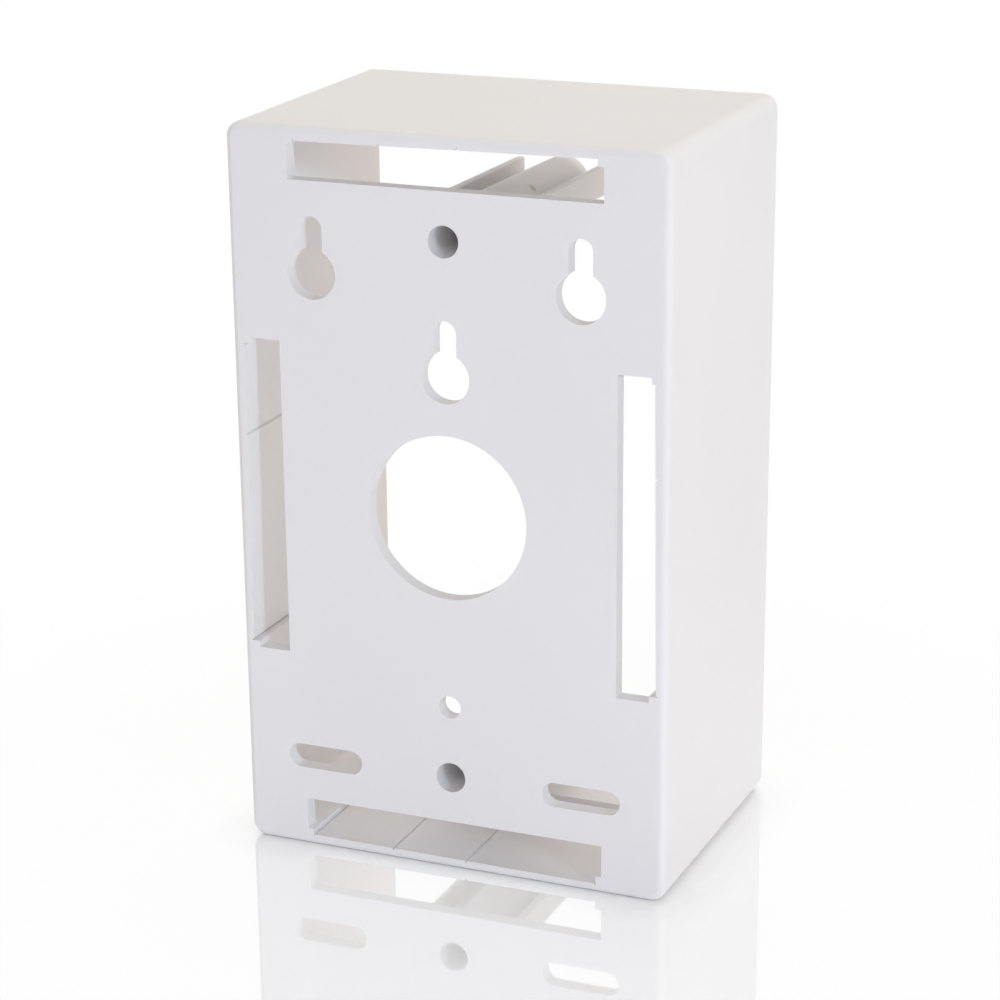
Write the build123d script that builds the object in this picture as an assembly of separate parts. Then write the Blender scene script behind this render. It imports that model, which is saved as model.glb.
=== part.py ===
from build123d import *
import os
from math import radians, tan

# Single-gang surface wall box, moulded in one piece, standing on its bottom wall.
# X is across the box, Y runs from the open front (minus) to the back plate (plus), Z is up.
# The origin is under the middle of the box, on the surface that it stands on.
# All sizes are millimetres.

# Outside of the box, measured at the back plate
box_width = 69.4
box_height = 113.7
box_depth = 47.4
side_draft = 0.25
top_draft = 0.8
long_edge_radius = 2.3
back_edge_radius = 1.1
rim_edge_radius = 0.4

# Walls
wall = 2.7
back_plate = 2.45
inner_corner_radius = 1.4
inner_foot_radius = 0.8

# The window beside each wall in the back plate, and the thin panel that breaks out of the wall
window_length = 49.3
window_reach = 7.85
panel_length = 47.4
panel_depth = 26.5
panel_thick_start = 2.2
panel_thick_end = 1.6
floor_panel_thick_start = 1.8
floor_panel_thick_end = 1.5
score_width = 0.5
score_depth = 0.4
side_score = 14.1
floor_score_first = 13.7
floor_score_second = 26.0

# Screw towers for the device plate
device_spacing = 83.3
boss_radius = 4.2
boss_draft = 0.25
pilot_radius = 1.45
pilot_depth = 16.0
pilot_lead = 0.5
core_radius = 2.4
core_depth = 22.0
core_draft = 0.5
gusset_thick = 1.2
gusset_gap = 2.5
gusset_reach_out = 3.6
gusset_reach_in = 1.2
gusset_edge_radius = 0.35
web_thick = 1.2
web_setback = 5.0

# Openings in the back plate, with heights measured from the middle of the box
cable_hole_radius = 12.7
keyhole_radius = 3.85
keyhole_slot_width = 3.7
keyhole_rise = 8.6
keyhole_offset = 21.2
side_keyhole_height = 35.2
middle_keyhole_height = 21.4
wall_slot_length = 12.5
wall_slot_height = 3.9
wall_slot_offset = 21.3
wall_slot_drop = 41.8
earth_hole_radius = 1.8
earth_hole_drop = 30.1

# Cutting tools run this far past the faces that they break through
overrun = 1.0

back_y = box_depth / 2
middle_z = box_height / 2


def plane_at(depth):
    """Plane parallel to the back plate, seen from behind, at a depth from the back face."""
    return Plane(origin=(0, back_y - depth, 0), x_dir=(1, 0, 0), z_dir=(0, -1, 0))


def half_width(depth):
    return box_width / 2 + depth * tan(radians(side_draft))


def top_height(depth):
    return box_height + depth * tan(radians(top_draft))


def section(depth, inset, radius):
    """Cross-section of the box at a depth, drawn in from the outer faces."""
    width = 2 * half_width(depth) - 2 * inset
    height = top_height(depth) - 2 * inset
    outline = Pos(0, top_height(depth) / 2) * RectangleRounded(width, height, radius)
    return plane_at(depth) * outline


def outer_body():
    """Drafted outside of the box, with its long edges, back edges and rim rounded."""
    body = loft([section(0, 0, long_edge_radius), section(box_depth, 0, long_edge_radius)], ruled=True)
    body = fillet(body.faces().sort_by(Axis.Y)[-1].edges(), back_edge_radius)
    return fillet(body.faces().sort_by(Axis.Y)[0].edges(), rim_edge_radius)


def cavity():
    """Room inside the walls, rounded where the walls meet the back plate."""
    foot = section(back_plate, wall, inner_corner_radius)
    mouth = section(box_depth + overrun, wall, inner_corner_radius)
    room = loft([foot, mouth], ruled=True)
    foot_edges = room.faces().sort_by(Axis.Y)[-1].edges()
    return fillet(foot_edges, inner_foot_radius)


def wall_point(side, along, inward, depth):
    """Point given by its place along a wall, its distance in from the outer face and its depth."""
    y = back_y - depth
    if side == "bottom":
        return Vector(along, y, inward)
    if side == "top":
        return Vector(along, y, top_height(depth) - inward)
    if side == "right":
        return Vector(half_width(depth) - inward, y, middle_z + along)
    return Vector(inward - half_width(depth), y, middle_z + along)


def block(first_corners, second_corners):
    """Solid between two outlines with the same number of corners."""
    first = Face(Wire.make_polygon(first_corners))
    second = Face(Wire.make_polygon(second_corners))
    return loft([first, second], ruled=True)


def panel_thickness(side, along):
    """The breakout panels thin out evenly from their first end to their last."""
    share = 0.5 - along / panel_length
    start, end = panel_thick_start, panel_thick_end
    if side == "bottom":
        start, end = floor_panel_thick_start, floor_panel_thick_end
    return start + (end - start) * share


def window_cut(side):
    """Opening through the back plate, from the wall's inner face inwards."""
    half = window_length / 2
    outline = [(-half, wall), (half, wall), (half, window_reach), (-half, window_reach)]
    near = [wall_point(side, a, i, -overrun) for a, i in outline]
    far = [wall_point(side, a, i, back_plate + overrun) for a, i in outline]
    return block(near, far)


def panel_cut(side):
    """Recess that leaves the thin breakout panel, open to the back."""
    half = panel_length / 2
    outline = [(-half, panel_thickness(side, -half)), (half, panel_thickness(side, half)),
               (half, wall + overrun), (-half, wall + overrun)]
    near = [wall_point(side, a, i, -overrun) for a, i in outline]
    far = [wall_point(side, a, i, panel_depth) for a, i in outline]
    return block(near, far)


def score_outline(side, along, lean):
    """V groove in the panel's inner face, leaning on the step beside it where there is one."""
    surface = panel_thickness(side, along)
    left = along if lean < 0 else along - score_width
    right = along if lean > 0 else along + score_width
    return [(left, surface + score_depth), (along, surface - score_depth), (right, surface + score_depth)]


def score_cut(side, along, lean=0):
    """Score line that runs from the back edge to the panel's front end."""
    outline = score_outline(side, along, lean)
    near = [wall_point(side, a, i, -overrun) for a, i in outline]
    far = [wall_point(side, a, i, panel_depth) for a, i in outline]
    return block(near, far)


def front_score_cut(side):
    """Score line along the foot of the step at the panel's front end."""
    back = panel_depth - score_width
    ends = []
    for along in (-panel_length / 2, panel_length / 2):
        surface = panel_thickness(side, along)
        over = surface + score_depth
        profile = [(back, over), (panel_depth, over), (panel_depth, surface - score_depth)]
        ends.append([wall_point(side, along, inward, depth) for depth, inward in profile])
    return block(ends[0], ends[1])


def score_places(side):
    """Places of the score lines between the two ends of a panel."""
    start = panel_length / 2
    if side in ("top", "bottom"):
        return [start - floor_score_first, start - floor_score_second]
    return [start - side_score]


def breakouts():
    """All that is cut for the four windows and their breakout panels."""
    cuts = []
    for side in ("bottom", "top", "left", "right"):
        cuts += [window_cut(side), panel_cut(side), front_score_cut(side)]
        cuts += [score_cut(side, -panel_length / 2, -1), score_cut(side, panel_length / 2, 1)]
        cuts += [score_cut(side, place) for place in score_places(side)]
    return cuts


def disc(depth, z, radius):
    return plane_at(depth) * Pos(0, z) * Circle(radius)


def gusset(x, z, length):
    """Upright rib beside a boss, as deep as the boss and rounded along its edges."""
    outwards = 1 if z > middle_z else -1
    middle = z + outwards * (gusset_reach_out - gusset_reach_in) / 2
    rib = Box(gusset_thick, length, gusset_reach_out + gusset_reach_in)
    rib = Pos(x, length / 2 - back_y, middle) * rib
    long_edges = rib.edges().filter_by(Axis.Y)
    front_edges = rib.faces().sort_by(Axis.Y)[0].edges()
    return fillet(long_edges + front_edges, gusset_edge_radius)


def screw_tower(z):
    """Screw boss from the back plate to the front rim, with a gusset each side and a web between."""
    length = box_depth - back_plate / 2
    root = disc(box_depth - length, z, boss_radius + length * tan(radians(boss_draft)))
    boss = loft([root, disc(box_depth, z, boss_radius)], ruled=True)
    gusset_x = boss_radius + gusset_gap + gusset_thick / 2
    web_length = length - web_setback
    web = Pos(0, web_setback + web_length / 2 - back_y, z) * Box(2 * gusset_x, web_length, web_thick)
    return boss + web + gusset(-gusset_x, z, length) + gusset(gusset_x, z, length)


def tower_holes(z):
    """Pilot hole for the device screw at the front, and the sink-saving core at the back."""
    core_slope = tan(radians(core_draft))
    core_mouth = disc(-overrun, z, core_radius + overrun * core_slope)
    core_end = disc(core_depth, z, core_radius - core_depth * core_slope)
    pilot_end = disc(box_depth - pilot_depth, z, pilot_radius)
    lead_foot = disc(box_depth - pilot_lead, z, pilot_radius)
    lead_mouth = disc(box_depth, z, pilot_radius + pilot_lead)
    return [
        loft([core_mouth, core_end], ruled=True),
        extrude(pilot_end, pilot_depth + overrun),
        loft([lead_foot, lead_mouth], ruled=True),
    ]


def keyhole(x, z):
    """Round entry with a narrow slot above it for the head of a wall screw."""
    slot_middle = (keyhole_rise - keyhole_slot_width / 2) / 2
    slot = Pos(x, z + slot_middle) * Rectangle(keyhole_slot_width, 2 * slot_middle)
    slot_end = Pos(x, z + 2 * slot_middle) * Circle(keyhole_slot_width / 2)
    return Pos(x, z) * Circle(keyhole_radius) + slot + slot_end


def plate_outlines():
    """Outlines of the openings in the back plate, apart from the windows."""
    outlines = [
        keyhole(-keyhole_offset, middle_z + side_keyhole_height),
        keyhole(keyhole_offset, middle_z + side_keyhole_height),
        keyhole(0, middle_z + middle_keyhole_height),
        Pos(0, middle_z) * Circle(cable_hole_radius),
        Pos(0, middle_z - earth_hole_drop) * Circle(earth_hole_radius),
    ]
    for x in (-wall_slot_offset, wall_slot_offset):
        outlines.append(Pos(x, middle_z - wall_slot_drop) * SlotOverall(wall_slot_length, wall_slot_height))
    return outlines


def plate_openings():
    through = back_plate + 2 * overrun
    return [extrude(plane_at(-overrun) * outline, through) for outline in plate_outlines()]


def wall_box():
    tower_heights = (middle_z - device_spacing / 2, middle_z + device_spacing / 2)
    box = outer_body() - cavity()
    for z in tower_heights:
        box += screw_tower(z)
    cuts = breakouts() + plate_openings()
    for z in tower_heights:
        cuts += tower_holes(z)
    for cut in cuts:
        box -= cut
    return box


os.makedirs("parts", exist_ok=True)
moulding = wall_box()
moulding.label = "wall_box"
export_step(moulding, "parts/wall_box.step")
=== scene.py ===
import math

import bpy
from mathutils import Matrix, Vector


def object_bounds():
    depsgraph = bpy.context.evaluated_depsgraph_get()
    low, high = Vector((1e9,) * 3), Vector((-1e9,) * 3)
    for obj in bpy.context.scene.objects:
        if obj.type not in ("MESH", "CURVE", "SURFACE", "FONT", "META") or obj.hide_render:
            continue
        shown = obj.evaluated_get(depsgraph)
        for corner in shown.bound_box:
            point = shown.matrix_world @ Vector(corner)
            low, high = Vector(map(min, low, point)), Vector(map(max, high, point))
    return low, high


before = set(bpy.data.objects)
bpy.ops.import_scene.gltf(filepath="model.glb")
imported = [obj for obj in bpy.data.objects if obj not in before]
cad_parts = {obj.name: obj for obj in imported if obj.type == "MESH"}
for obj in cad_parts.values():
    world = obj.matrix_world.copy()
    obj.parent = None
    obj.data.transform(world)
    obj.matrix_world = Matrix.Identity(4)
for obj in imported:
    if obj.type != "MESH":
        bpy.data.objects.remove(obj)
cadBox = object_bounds()
boxMiddle = (cadBox[0] + cadBox[1]) / 2
print("frame loaded:", ", ".join(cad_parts))

mm = 0.001
mmPerMetre = 1000.0
noiseSpan = (0.3, 0.7)      # nearly all of a noise texture's values lie between these
mixShare = 0                # sockets of a Mix node: its factor, then two numbers or two colours
numberA, numberB, numberOut = 2, 3, 0
colorA, colorB, colorOut = 6, 7, 2

# camera, seen from behind the box and a little above it
cameraView = {
    "place": (-162.81, 388.02, 186.40),      # millimetres
    "right": (-0.92678, -0.37559, -0.00347),
    "up": (0.12134, -0.30812, 0.94358),
    "forward": (0.35547, -0.87407, -0.33113),
    "lens": 101.9,
    "sensor": 36.0,
    "clip": (0.01, 30.0),                    # metres
    "shift": (-0.03887, 0.08467),
}


def makeCamera(view):
    data = bpy.data.cameras.new("studioCamera")
    data.lens = view["lens"]
    data.sensor_width = view["sensor"]
    data.shift_x, data.shift_y = view["shift"]
    data.clip_start, data.clip_end = view["clip"]
    camera = bpy.data.objects.new("studioCamera", data)
    bpy.context.scene.collection.objects.link(camera)
    axes = Matrix([view["right"], view["up"], [-n for n in view["forward"]]]).transposed()
    camera.matrix_world = Matrix.Translation(Vector(view["place"]) * mm) @ axes.to_4x4()
    bpy.context.scene.camera = camera
    return camera


makeCamera(cameraView)
print("camera placed")


# small helpers for node trees
def addNode(tree, kind, x, y, **settings):
    node = tree.nodes.new(kind)
    node.location = (x, y)
    for name, value in settings.items():
        setattr(node, name, value)
    return node


def wire(tree, output, target):
    tree.links.new(output, target)


def newGroup(name, inputs, outputs):
    group = bpy.data.node_groups.new(name, "ShaderNodeTree")
    for label, kind, value in inputs:
        socket = group.interface.new_socket(name=label, in_out="INPUT", socket_type=kind)
        if value is not None:
            socket.default_value = value
    for label, kind in outputs:
        group.interface.new_socket(name=label, in_out="OUTPUT", socket_type=kind)
    return group, addNode(group, "NodeGroupInput", -900, 0), addNode(group, "NodeGroupOutput", 700, 0)


def placeGroup(tree, group, x, y, **values):
    node = addNode(tree, "ShaderNodeGroup", x, y, node_tree=group)
    for name, value in values.items():
        node.inputs[name].default_value = value
    return node


# Mould texture: a fine even grain, and a slow waviness like that of a cooling wall.
def makeMouldGrain():
    group, given, out = newGroup(
        "mouldGrain",
        [("Vector", "NodeSocketVector", None), ("Grain size mm", "NodeSocketFloat", 0.35),
         ("Wave size mm", "NodeSocketFloat", 22.0), ("Wave share", "NodeSocketFloat", 0.5)],
        [("Height", "NodeSocketFloat"), ("Grain", "NodeSocketFloat")],
    )
    fineScale = addNode(group, "ShaderNodeMath", -700, 150, operation="DIVIDE")
    fineScale.inputs[0].default_value = mmPerMetre
    wire(group, given.outputs["Grain size mm"], fineScale.inputs[1])
    fine = addNode(group, "ShaderNodeTexNoise", -480, 150)
    fine.inputs["Detail"].default_value = 2.0
    fine.inputs["Roughness"].default_value = 0.6
    wire(group, given.outputs["Vector"], fine.inputs["Vector"])
    wire(group, fineScale.outputs[0], fine.inputs["Scale"])
    slowScale = addNode(group, "ShaderNodeMath", -700, -150, operation="DIVIDE")
    slowScale.inputs[0].default_value = mmPerMetre
    wire(group, given.outputs["Wave size mm"], slowScale.inputs[1])
    slow = addNode(group, "ShaderNodeTexNoise", -480, -150)
    slow.inputs["Detail"].default_value = 1.0
    wire(group, given.outputs["Vector"], slow.inputs["Vector"])
    wire(group, slowScale.outputs[0], slow.inputs["Scale"])
    both = addNode(group, "ShaderNodeMix", -200, 0, data_type="FLOAT")
    wire(group, given.outputs["Wave share"], both.inputs[mixShare])
    wire(group, fine.outputs["Fac"], both.inputs[numberA])
    wire(group, slow.outputs["Fac"], both.inputs[numberB])
    wire(group, both.outputs[numberOut], out.inputs["Height"])
    wire(group, fine.outputs["Fac"], out.inputs["Grain"])
    return group


# Slow drift of the plastic's tone over the walls.
def makeToneDrift():
    group, given, out = newGroup(
        "toneDrift",
        [("Vector", "NodeSocketVector", None), ("Light", "NodeSocketColor", (0.85, 0.83, 0.81, 1)),
         ("Dark", "NodeSocketColor", (0.8, 0.78, 0.76, 1)), ("Patch size mm", "NodeSocketFloat", 40.0)],
        [("Color", "NodeSocketColor")],
    )
    scale = addNode(group, "ShaderNodeMath", -700, 0, operation="DIVIDE")
    scale.inputs[0].default_value = mmPerMetre
    wire(group, given.outputs["Patch size mm"], scale.inputs[1])
    patches = addNode(group, "ShaderNodeTexNoise", -480, 0)
    patches.inputs["Detail"].default_value = 3.0
    wire(group, given.outputs["Vector"], patches.inputs["Vector"])
    wire(group, scale.outputs[0], patches.inputs["Scale"])
    spread = addNode(group, "ShaderNodeMapRange", -240, 0, interpolation_type="SMOOTHSTEP")
    spread.inputs["From Min"].default_value = noiseSpan[0]
    spread.inputs["From Max"].default_value = noiseSpan[1]
    wire(group, patches.outputs["Fac"], spread.inputs["Value"])
    mix = addNode(group, "ShaderNodeMix", 40, 0, data_type="RGBA")
    wire(group, spread.outputs["Result"], mix.inputs[mixShare])
    wire(group, given.outputs["Light"], mix.inputs[colorA])
    wire(group, given.outputs["Dark"], mix.inputs[colorB])
    wire(group, mix.outputs[colorOut], out.inputs["Color"])
    return group


# A round spot at one place: 1 in it, 0 outside, with a soft edge.
def makeSpot():
    group, given, out = newGroup(
        "spotMask",
        [("Vector", "NodeSocketVector", None), ("Place", "NodeSocketVector", (0, 0, 0)),
         ("Radius mm", "NodeSocketFloat", 0.5), ("Softness mm", "NodeSocketFloat", 0.2)],
        [("Mask", "NodeSocketFloat")],
    )
    gap = addNode(group, "ShaderNodeVectorMath", -700, 0, operation="DISTANCE")
    wire(group, given.outputs["Vector"], gap.inputs[0])
    wire(group, given.outputs["Place"], gap.inputs[1])
    toMm = addNode(group, "ShaderNodeMath", -520, 0, operation="MULTIPLY")
    toMm.inputs[1].default_value = mmPerMetre
    wire(group, gap.outputs["Value"], toMm.inputs[0])
    outer = addNode(group, "ShaderNodeMath", -520, -180, operation="ADD")
    wire(group, given.outputs["Radius mm"], outer.inputs[0])
    wire(group, given.outputs["Softness mm"], outer.inputs[1])
    fade = addNode(group, "ShaderNodeMapRange", -260, 0, interpolation_type="SMOOTHSTEP")
    fade.inputs["To Min"].default_value = 1.0
    fade.inputs["To Max"].default_value = 0.0
    wire(group, toMm.outputs[0], fade.inputs["Value"])
    wire(group, given.outputs["Radius mm"], fade.inputs["From Min"])
    wire(group, outer.outputs[0], fade.inputs["From Max"])
    wire(group, fade.outputs["Result"], out.inputs["Mask"])
    return group


mouldGrain = makeMouldGrain()
toneDrift = makeToneDrift()
spotMask = makeSpot()
print("shader groups built")

# the box's own plastic
plastic = {
    "light": (0.905, 0.888, 0.876, 1),
    "dark": (0.890, 0.872, 0.859, 1),
    "patchMm": 38.0,
    "roughness": (0.40, 0.52),
    "grainMm": 0.32,
    "waveMm": 26.0,
    "waveShare": 0.45,         # the rest of the height is the fine grain
    "bump": 0.06,
    "bumpMm": 0.1,
    "ior": 1.5,
    "speckColor": (0.64, 0.57, 0.49, 1),
    "speckPlace": (-0.0030, -0.0031, 0.1015),
    "speckMm": 0.45,
}


def makePlastic(look):
    material = bpy.data.materials.new("whiteMoulding")
    material.use_nodes = True
    tree = material.node_tree
    tree.nodes.clear()
    out = addNode(tree, "ShaderNodeOutputMaterial", 700, 0)
    shader = addNode(tree, "ShaderNodeBsdfPrincipled", 400, 0)
    wire(tree, shader.outputs["BSDF"], out.inputs["Surface"])
    shader.inputs["IOR"].default_value = look["ior"]
    where = addNode(tree, "ShaderNodeTexCoord", -900, 0).outputs["Object"]
    tone = placeGroup(tree, toneDrift, -500, 300, **{
        "Light": look["light"], "Dark": look["dark"], "Patch size mm": look["patchMm"]})
    wire(tree, where, tone.inputs["Vector"])
    speck = placeGroup(tree, spotMask, -500, 80, **{
        "Place": look["speckPlace"], "Radius mm": look["speckMm"],
        "Softness mm": look["speckMm"]})
    wire(tree, where, speck.inputs["Vector"])
    stained = addNode(tree, "ShaderNodeMix", 60, 250, data_type="RGBA")
    wire(tree, speck.outputs["Mask"], stained.inputs[mixShare])
    wire(tree, tone.outputs["Color"], stained.inputs[colorA])
    stained.inputs[colorB].default_value = look["speckColor"]
    wire(tree, stained.outputs[colorOut], shader.inputs["Base Color"])
    grain = placeGroup(tree, mouldGrain, -500, -200, **{
        "Grain size mm": look["grainMm"], "Wave size mm": look["waveMm"],
        "Wave share": look["waveShare"]})
    wire(tree, where, grain.inputs["Vector"])
    gloss = addNode(tree, "ShaderNodeMapRange", 60, -60)
    gloss.inputs["From Min"].default_value = noiseSpan[0]
    gloss.inputs["From Max"].default_value = noiseSpan[1]
    gloss.inputs["To Min"].default_value = look["roughness"][0]
    gloss.inputs["To Max"].default_value = look["roughness"][1]
    wire(tree, grain.outputs["Grain"], gloss.inputs["Value"])
    wire(tree, gloss.outputs["Result"], shader.inputs["Roughness"])
    bump = addNode(tree, "ShaderNodeBump", 60, -320)
    bump.inputs["Strength"].default_value = look["bump"]
    bump.inputs["Distance"].default_value = look["bumpMm"] * mm
    wire(tree, grain.outputs["Height"], bump.inputs["Height"])
    wire(tree, bump.outputs["Normal"], shader.inputs["Normal"])
    return material


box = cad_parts["wall_box"]
box.data.materials.clear()
box.data.materials.append(makePlastic(plastic))
print("plastic assigned")

# floor: polished white, with a clear reflection near the box
floorLook = {
    "size": 6.0,
    "height": -0.00002,        # just under the box, so that the two faces don't coincide
    "color": (0.90, 0.90, 0.905, 1),
    "nearMm": 55.0,
    "farMm": 150.0,
    "nearWhite": 0.9,          # share of plain white under the box
    "contactMm": 9.0,          # reach of the dark line where the box meets the floor
    "mirror": (0.45, 0.25),    # reflecting share near the box and far from it
    "mirrorFarMm": 190.0,
    "mirrorRoughness": 0.045,
}


def fadeFromMiddle(tree, nearMm, farMm, nearValue, farValue, y):
    where = addNode(tree, "ShaderNodeTexCoord", -900, y).outputs["Object"]
    reach = addNode(tree, "ShaderNodeVectorMath", -700, y, operation="LENGTH")
    wire(tree, where, reach.inputs[0])
    fade = addNode(tree, "ShaderNodeMapRange", -500, y, interpolation_type="SMOOTHSTEP")
    fade.inputs["From Min"].default_value = nearMm * mm
    fade.inputs["From Max"].default_value = farMm * mm
    fade.inputs["To Min"].default_value = nearValue
    fade.inputs["To Max"].default_value = farValue
    wire(tree, reach.outputs["Value"], fade.inputs["Value"])
    return fade.outputs["Result"]


def seenDirectly(tree, x, y):
    rays = addNode(tree, "ShaderNodeLightPath", x - 400, y)
    mirrored = addNode(tree, "ShaderNodeMath", x - 200, y, operation="MAXIMUM")
    wire(tree, rays.outputs["Is Glossy Ray"], mirrored.inputs[0])
    wire(tree, rays.outputs["Is Transmission Ray"], mirrored.inputs[1])
    seen = addNode(tree, "ShaderNodeMath", x, y, operation="MAXIMUM")
    wire(tree, rays.outputs["Is Camera Ray"], seen.inputs[0])
    wire(tree, mirrored.outputs[0], seen.inputs[1])
    return seen.outputs[0]


def makeFloor(look):
    bpy.ops.object.select_all(action="DESELECT")
    bpy.ops.mesh.primitive_plane_add(size=look["size"], location=(0, 0, look["height"]))
    floor = bpy.context.object
    floor.name = "studioFloor"
    material = bpy.data.materials.new("floorWhite")
    material.use_nodes = True
    tree = material.node_tree
    tree.nodes.clear()
    out = addNode(tree, "ShaderNodeOutputMaterial", 1100, 0)
    matt = addNode(tree, "ShaderNodeBsdfDiffuse", 100, 200)
    matt.inputs["Color"].default_value = look["color"]
    ground = addNode(tree, "ShaderNodeEmission", 100, -100)
    polish = addNode(tree, "ShaderNodeBsdfGlossy", 600, -300)
    polish.inputs["Color"].default_value = (1, 1, 1, 1)
    polish.inputs["Roughness"].default_value = look["mirrorRoughness"]
    white = fadeFromMiddle(tree, look["nearMm"], look["farMm"], look["nearWhite"], 1.0, 300)
    contact = addNode(tree, "ShaderNodeAmbientOcclusion", -500, 150)
    contact.inputs["Distance"].default_value = look["contactMm"] * mm
    unshaded = addNode(tree, "ShaderNodeMath", -300, 200, operation="MULTIPLY")
    wire(tree, white, unshaded.inputs[0])
    wire(tree, contact.outputs["AO"], unshaded.inputs[1])
    share = addNode(tree, "ShaderNodeMath", -100, 100, operation="MULTIPLY")
    wire(tree, unshaded.outputs[0], share.inputs[0])
    wire(tree, seenDirectly(tree, -300, 0), share.inputs[1])
    flat = addNode(tree, "ShaderNodeMixShader", 400, 100)
    wire(tree, share.outputs[0], flat.inputs[0])
    wire(tree, matt.outputs["BSDF"], flat.inputs[1])
    wire(tree, ground.outputs["Emission"], flat.inputs[2])
    near, far = look["mirror"]
    shine = fadeFromMiddle(tree, look["nearMm"], look["mirrorFarMm"], near, far, -400)
    mix = addNode(tree, "ShaderNodeMixShader", 850, 0)
    wire(tree, shine, mix.inputs[0])
    wire(tree, flat.outputs["Shader"], mix.inputs[1])
    wire(tree, polish.outputs["BSDF"], mix.inputs[2])
    wire(tree, mix.outputs["Shader"], out.inputs["Surface"])
    floor.data.materials.append(material)
    return floor


makeFloor(floorLook)
print("floor laid")

# light: a white room, brighter near the horizon, and soft lamps around the box
roomLight = {"horizon": (0.71, 0.63, 0.66), "zenith": (0.24, 0.23, 0.17), "bandTop": 0.75}
# A lamp's level is the brightness that it alone gives a white card which faces it.
lamps = {
    "keyLamp": {"toward": (-0.81, 0.51, 0.24), "distance": 1.6, "size": 0.14, "level": 0.18,
                "color": (0.60, 0.81, 1.0)},
    "fillLamp": {"toward": (-0.44, 0.89, 0.12), "distance": 0.40, "size": 0.30, "level": 0.08,
                 "color": (0.75, 0.80, 1.0)},
    "frontLamp": {"toward": (0.10, -0.97, 0.13), "distance": 1.6, "size": 0.9, "level": 0.31,
                  "color": (1.0, 0.955, 0.98), "mirrored": False},    # no glare on the top's edge
    "rightLamp": {"toward": (-0.97, -0.20, 0.12), "distance": 1.6, "size": 1.0, "level": 0.10,
                  "color": (1.0, 0.74, 0.55)},
    "topLamp": {"toward": (0.05, -0.20, 0.98), "distance": 1.8, "size": 0.6, "level": 0.245,
                "color": (1.0, 0.985, 0.945)},
    "upperBackLamp": {"toward": (-0.10, 0.70, 0.70), "distance": 1.6, "size": 1.0, "level": 0.085,
                      "color": (0.75, 0.75, 1.0)},
}


def makeRoom(look):
    world = bpy.data.worlds.new("whiteRoom")
    bpy.context.scene.world = world
    world.use_nodes = True
    tree = world.node_tree
    tree.nodes.clear()
    out = addNode(tree, "ShaderNodeOutputWorld", 700, 0)
    direction = addNode(tree, "ShaderNodeTexCoord", -900, 100).outputs["Generated"]
    parts = addNode(tree, "ShaderNodeSeparateXYZ", -700, 100)
    wire(tree, direction, parts.inputs[0])
    height = addNode(tree, "ShaderNodeMapRange", -500, 100, interpolation_type="SMOOTHSTEP")
    height.inputs["From Max"].default_value = look["bandTop"]
    wire(tree, parts.outputs["Z"], height.inputs["Value"])
    sky = addNode(tree, "ShaderNodeMix", -250, 100, data_type="RGBA")
    wire(tree, height.outputs["Result"], sky.inputs[mixShare])
    sky.inputs[colorA].default_value = (*look["horizon"], 1)
    sky.inputs[colorB].default_value = (*look["zenith"], 1)
    room = addNode(tree, "ShaderNodeBackground", 0, 150)
    wire(tree, sky.outputs[colorOut], room.inputs["Color"])
    backdrop = addNode(tree, "ShaderNodeBackground", 0, -100)
    backdrop.inputs["Color"].default_value = (1, 1, 1, 1)
    mix = addNode(tree, "ShaderNodeMixShader", 300, 0)
    wire(tree, seenDirectly(tree, 0, 400), mix.inputs[0])
    wire(tree, room.outputs["Background"], mix.inputs[1])
    wire(tree, backdrop.outputs["Background"], mix.inputs[2])
    wire(tree, mix.outputs["Shader"], out.inputs["Surface"])


def makeLamp(name, look):
    data = bpy.data.lights.new(name, "AREA")
    data.shape = "DISK"
    data.size = look["size"]
    data.color = look["color"]
    data.energy = look["level"] * 4 * math.pi * look["distance"] ** 2
    lamp = bpy.data.objects.new(name, data)
    bpy.context.scene.collection.objects.link(lamp)
    toward = Vector(look["toward"]).normalized()
    lamp.visible_glossy = look.get("mirrored", True)
    lamp.location = boxMiddle + toward * look["distance"]
    lamp.rotation_euler = toward.to_track_quat("Z", "Y").to_euler()
    return lamp


makeRoom(roomLight)
for name, look in lamps.items():
    makeLamp(name, look)
bpy.context.scene.view_settings.view_transform = "Standard"
print("lights on")
